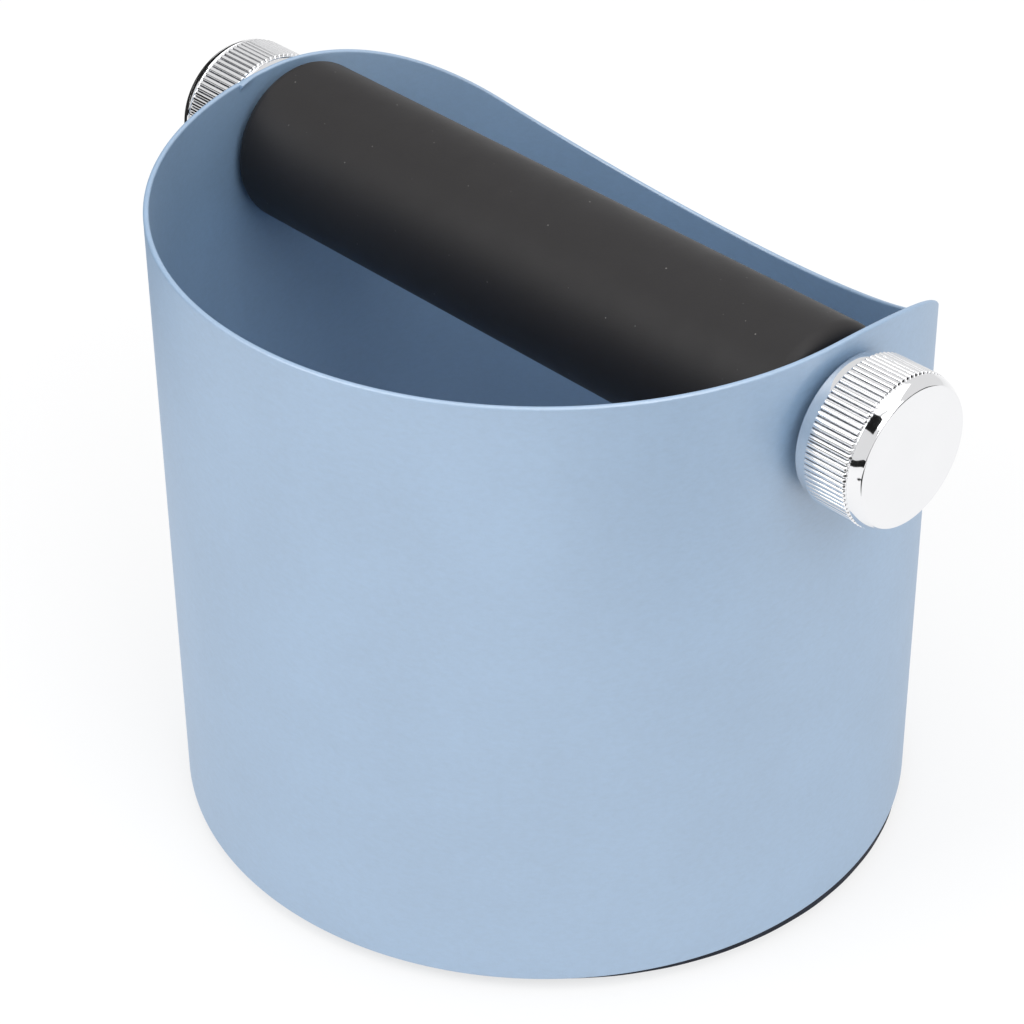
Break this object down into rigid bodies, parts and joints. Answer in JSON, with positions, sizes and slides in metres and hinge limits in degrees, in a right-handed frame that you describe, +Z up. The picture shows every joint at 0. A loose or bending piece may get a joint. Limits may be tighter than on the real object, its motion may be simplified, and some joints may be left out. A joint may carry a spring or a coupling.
{
  "type": "espresso knock box",
  "caption": "Round open-topped drum with a scooped rim, a rubber-covered knock bar across the mouth, knurled screw knobs outside and a rubber base pad.",
  "frame": {"origin": "centre of the base, on the surface it stands on", "axes": "+X along the knock bar towards the right knob, +Y towards the scooped side of the rim, +Z up"},
  "size_m": [0.1954, 0.16, 0.1434],
  "materials": {
    "coated_steel": "satin light blue powder coat with a fine even texture",
    "pad_rubber": "matte near-black moulded rubber",
    "bar_rubber": "matte charcoal rubber with faint specks",
    "plain_steel": "drawn and turned steel",
    "bush_plastic": "natural white nylon",
    "washer_plastic": "black nylon",
    "knob_chrome": "mirror chrome plate over a straight fine knurl",
    "insert_brass": "turned brass"
  },
  "bodies": {
    "box": {"drum": "coated_steel", "floor_pan": "coated_steel", "base_pad": "pad_rubber", "through_rod": "plain_steel", "spacer_tube": "plain_steel", "wall_bush_left": "bush_plastic", "wall_bush_right": "bush_plastic"},
    "bar": {"bar_sleeve": "bar_rubber", "bar_core_tube": "plain_steel", "bar_bush_left": "bush_plastic", "bar_bush_right": "bush_plastic"},
    "washer_left": {"saddle_washer_left": "washer_plastic"},
    "washer_right": {"saddle_washer_right": "washer_plastic"},
    "knob_left": {"knob_left": "knob_chrome", "knob_insert_left": "insert_brass"},
    "knob_right": {"knob_right": "knob_chrome", "knob_insert_right": "insert_brass"}
  },
  "joints": [
    {"name": "bar_spin", "type": "hinge", "parent": "box", "child": "bar", "pos_m": [0, 0, 0.1254], "axis": [1, 0, 0], "continuous": true},
    {"name": "knob_left_travel", "type": "slide", "parent": "box", "child": "washer_left", "axis": [-1, 0, 0], "range_m": [0, 0.0101]},
    {"name": "knob_left_turn", "type": "hinge", "parent": "washer_left", "child": "knob_left", "pos_m": [0, 0, 0.1254], "axis": [-1, 0, 0], "range_deg": [0, 2880]},
    {"name": "knob_right_travel", "type": "slide", "parent": "box", "child": "washer_right", "axis": [1, 0, 0], "range_m": [0, 0.0101]},
    {"name": "knob_right_turn", "type": "hinge", "parent": "washer_right", "child": "knob_right", "pos_m": [0, 0, 0.1254], "axis": [1, 0, 0], "range_deg": [0, 2880]}
  ],
  "couplings": [
    {"joint": "knob_left_travel", "follows": "knob_left_turn", "m_per_rad": 0.00019894},
    {"joint": "knob_right_travel", "follows": "knob_right_turn", "m_per_rad": 0.00019894}
  ]
}
